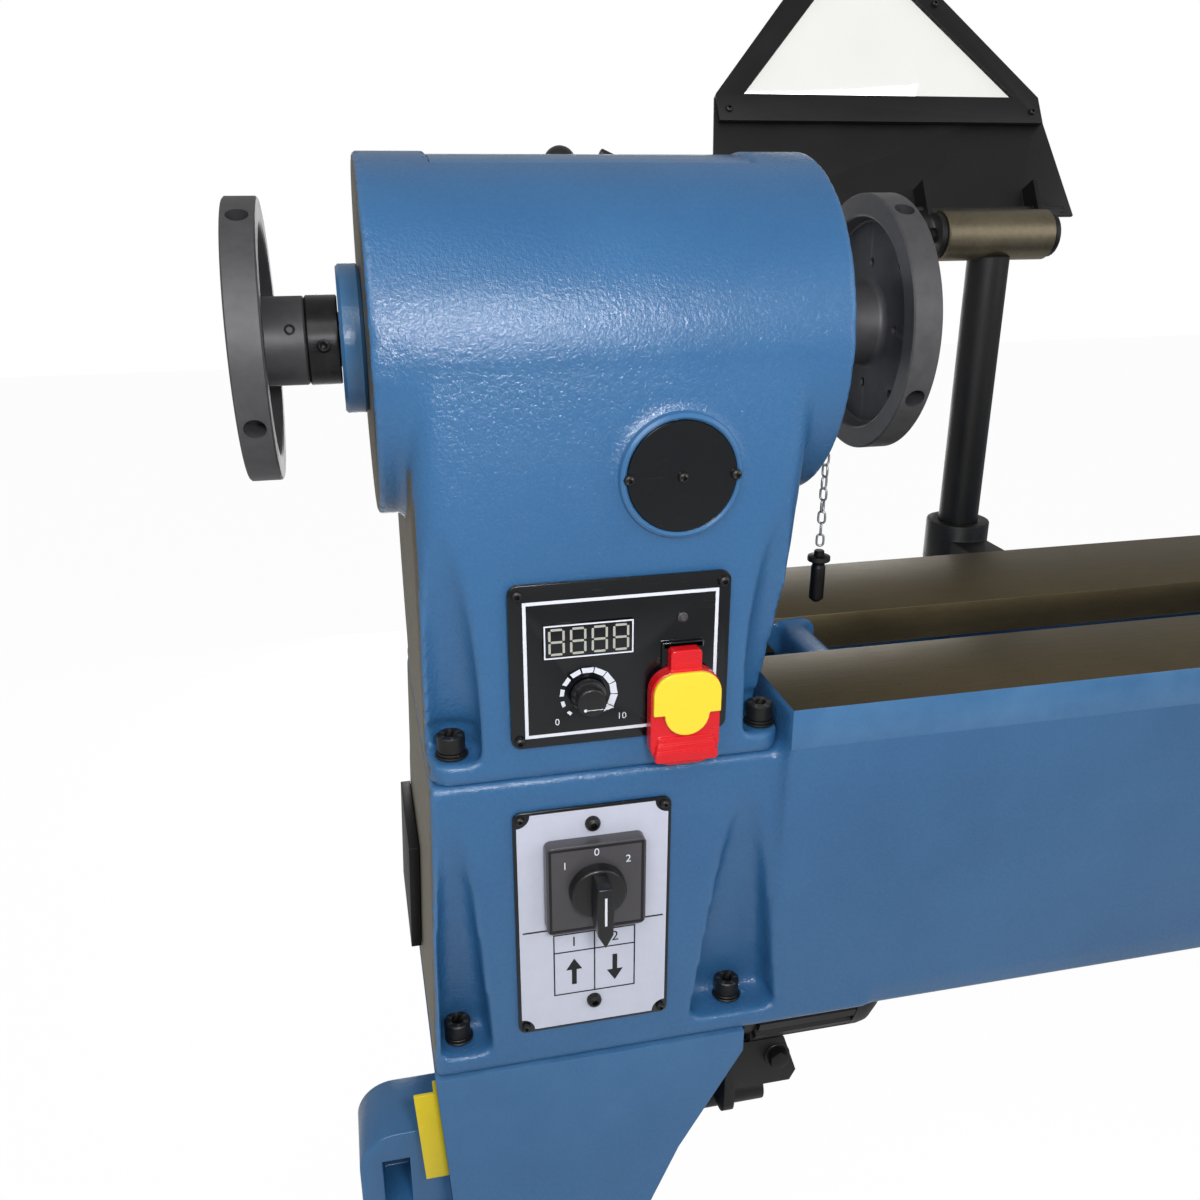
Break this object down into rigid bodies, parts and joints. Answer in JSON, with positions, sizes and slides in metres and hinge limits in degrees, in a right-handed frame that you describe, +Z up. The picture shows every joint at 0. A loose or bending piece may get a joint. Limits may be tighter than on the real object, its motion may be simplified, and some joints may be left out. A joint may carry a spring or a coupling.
{
  "type": "wood lathe",
  "caption": "Floor-standing wood lathe with a round headstock, faceplates at both spindle ends, belt drive, control panel, hinged guard, tool rest and tailstock on a cast bed with two legs.",
  "frame": {"origin": "on the floor, at the centre of the lathe's footprint box", "axes": "+X along the spindle from the headstock to the tailstock, -Y towards the operator, +Z up"},
  "size_m": [1.7348, 0.666, 1.3833],
  "materials": {
    "blue_paint": "blue hammer-tone enamel over cast iron, lightly glossy",
    "ground_iron": "ground grey iron, satin",
    "phosphate": "dark grey phosphated iron, matt",
    "steel": "turned and ground steel",
    "black_steel": "black coated steel",
    "black_plastic": "black plastic",
    "grey_plastic": "dark grey plastic",
    "panel_black": "black panel with a thin pale frame line",
    "label_white": "pale printed aluminium plate with a black border",
    "red": "red plastic",
    "yellow": "yellow plastic",
    "rubber": "black rubber",
    "clear": "clear sheet"
  },
  "bodies": {
    "stand": {"headstock_housing": "blue_paint", "bed": "blue_paint", "headstock_leg": "blue_paint", "tailstock_leg": "blue_paint", "levelling_foot_1": "rubber", "levelling_foot_2": "rubber", "levelling_foot_3": "rubber", "levelling_foot_4": "rubber", "headstock_bolt_1": "black_steel", "headstock_bolt_2": "black_steel", "rear_bearing": "steel", "front_bearing": "steel", "outboard_bearing_cap": "blue_paint", "drive_belt": "rubber", "control_panel": "panel_black", "speed_display": "black_plastic", "label_plate": "label_white", "selector_base": "grey_plastic", "inspection_cover": "black_steel", "guard_bracket": "black_steel", "guard_post": "black_steel", "leg_side_box": "blue_paint", "end_cover": "black_steel", "inverter": "black_plastic", "tool_hook": "yellow"},
    "spindle": {"spindle_shaft": "steel", "spindle_pulley": "steel", "outboard_faceplate": "phosphate", "inboard_faceplate": "phosphate", "lock_collar": "black_steel"},
    "motor": {"motor_plate": "black_steel", "motor_body": "black_steel", "motor_fan_cover": "black_steel"},
    "motor_rotor": {"motor_pulley": "steel"},
    "belt_cover": {"belt_cover": "blue_paint", "cover_knob": "black_plastic"},
    "cover_latch": {"cover_latch": "black_plastic"},
    "speed_knob": {"speed_knob": "black_plastic"},
    "stop_paddle": {"stop_paddle": "red", "paddle_key": "yellow"},
    "selector_knob": {"selector_knob": "black_plastic"},
    "lock_pin": {"lock_chain": "steel", "lock_pin": "phosphate"},
    "guard": {"guard_panel": "black_steel", "guard_frame": "black_steel", "guard_window": "clear"},
    "banjo_clamp": {"banjo_clamp": "phosphate"},
    "banjo_slide_block": {"banjo_slide_block": "steel"},
    "banjo": {"banjo": "blue_paint"},
    "banjo_clamp_lever": {"banjo_clamp_lever": "black_steel"},
    "rest_lock_lever": {"rest_lock_lever": "black_steel"},
    "rest_collar": {"rest_collar": "black_steel"},
    "tool_rest": {"tool_rest": "phosphate"},
    "tailstock": {"tailstock_body": "blue_paint", "tailstock_clamp": "phosphate"},
    "quill": {"quill": "steel"},
    "live_centre": {"live_centre": "steel"},
    "handwheel": {"handwheel": "phosphate"},
    "quill_lock_lever": {"quill_lock_lever": "black_steel"},
    "tailstock_clamp_lever": {"tailstock_clamp_lever": "black_steel"}
  },
  "joints": [
    {"name": "spindle_spin", "type": "hinge", "parent": "stand", "child": "spindle", "pos_m": [-0.79985, -0.05102, 1.1], "axis": [1, 0, 0], "continuous": true},
    {"name": "motor_lift", "type": "hinge", "parent": "stand", "child": "motor", "pos_m": [-0.58185, 0.03498, 0.638], "axis": [-1, 0, 0], "range_deg": [0, 5]},
    {"name": "motor_spin", "type": "hinge", "parent": "motor", "child": "motor_rotor", "pos_m": [-0.64985, -0.05102, 0.638], "axis": [1, 0, 0], "continuous": true},
    {"name": "cover_open", "type": "hinge", "parent": "stand", "child": "belt_cover", "pos_m": [-0.67285, 0.03268, 1.14863], "axis": [-1, 0, 0], "range_deg": [0, 105]},
    {"name": "latch_turn", "type": "hinge", "parent": "belt_cover", "child": "cover_latch", "pos_m": [-0.62785, -0.00087, 1.18314], "axis": [0, 0.5165, 0.8563], "range_deg": [0, 90]},
    {"name": "speed_turn", "type": "hinge", "parent": "stand", "child": "speed_knob", "pos_m": [-0.69435, -0.15462, 0.916], "axis": [0, -1, 0], "range_deg": [-135, 135]},
    {"name": "paddle_lift", "type": "hinge", "parent": "stand", "child": "stop_paddle", "pos_m": [-0.64085, -0.15762, 0.942], "axis": [-1, 0, 0], "range_deg": [0, 60]},
    {"name": "selector_turn", "type": "hinge", "parent": "stand", "child": "selector_knob", "pos_m": [-0.69135, -0.16262, 0.794], "axis": [0, -1, 0], "range_deg": [-60, 60]},
    {"name": "pin_swing", "type": "hinge", "parent": "stand", "child": "lock_pin", "pos_m": [-0.53785, -0.10102, 1.0369], "axis": [1, 0, 0], "range_deg": [-30, 30]},
    {"name": "guard_swing", "type": "hinge", "parent": "stand", "child": "guard", "pos_m": [-0.28185, 0.17098, 1.139], "axis": [1, 0, 0], "range_deg": [0, 90]},
    {"name": "banjo_travel", "type": "slide", "parent": "stand", "child": "banjo_clamp", "axis": [1, 0, 0], "range_m": [-0.36, 0.5]},
    {"name": "banjo_swivel", "type": "hinge", "parent": "banjo_clamp", "child": "banjo_slide_block", "pos_m": [-0.02985, -0.05102, 0.895], "axis": [0, 0, -1], "range_deg": [-45, 45]},
    {"name": "banjo_reach", "type": "slide", "parent": "banjo_slide_block", "child": "banjo", "axis": [0, -1, 0], "range_m": [-0.095, 0.045]},
    {"name": "banjo_lever_turn", "type": "hinge", "parent": "banjo_clamp", "child": "banjo_clamp_lever", "pos_m": [-0.02985, -0.05102, 0.9296], "axis": [0, 0, 1], "range_deg": [-30, 90]},
    {"name": "rest_lever_turn", "type": "hinge", "parent": "banjo", "child": "rest_lock_lever", "pos_m": [-0.00085, -0.26002, 0.9488], "axis": [-1, 0, 0], "range_deg": [-30, 120]},
    {"name": "rest_swivel", "type": "hinge", "parent": "banjo", "child": "rest_collar", "pos_m": [-0.02985, -0.26002, 0.9833], "axis": [0, 0, 1], "range_deg": [-120, 120]},
    {"name": "rest_height", "type": "slide", "parent": "rest_collar", "child": "tool_rest", "axis": [0, 0, 1], "range_m": [-0.024, 0.02]},
    {"name": "tailstock_travel", "type": "slide", "parent": "stand", "child": "tailstock", "axis": [1, 0, 0], "range_m": [-0.5, 0.04]},
    {"name": "quill_travel", "type": "slide", "parent": "tailstock", "child": "quill", "axis": [-1, 0, 0], "range_m": [0, 0.11]},
    {"name": "centre_spin", "type": "hinge", "parent": "quill", "child": "live_centre", "pos_m": [0.58115, -0.05102, 1.1], "axis": [1, 0, 0], "continuous": true},
    {"name": "handwheel_turn", "type": "hinge", "parent": "tailstock", "child": "handwheel", "pos_m": [0.79615, -0.05102, 1.1], "axis": [1, 0, 0], "range_deg": [0, 7900]},
    {"name": "quill_lock_turn", "type": "hinge", "parent": "tailstock", "child": "quill_lock_lever", "pos_m": [0.63215, -0.05102, 1.137], "axis": [0, 0, 1], "range_deg": [-60, 60]},
    {"name": "tail_clamp_turn", "type": "hinge", "parent": "tailstock", "child": "tailstock_clamp_lever", "pos_m": [0.68315, -0.17002, 0.945], "axis": [0, 1, 0], "range_deg": [-60, 15]}
  ],
  "couplings": [
    {"joint": "motor_spin", "follows": "spindle_spin", "ratio": 2.3077},
    {"joint": "quill_travel", "follows": "handwheel_turn", "m_per_rad": 0.00079577}
  ]
}
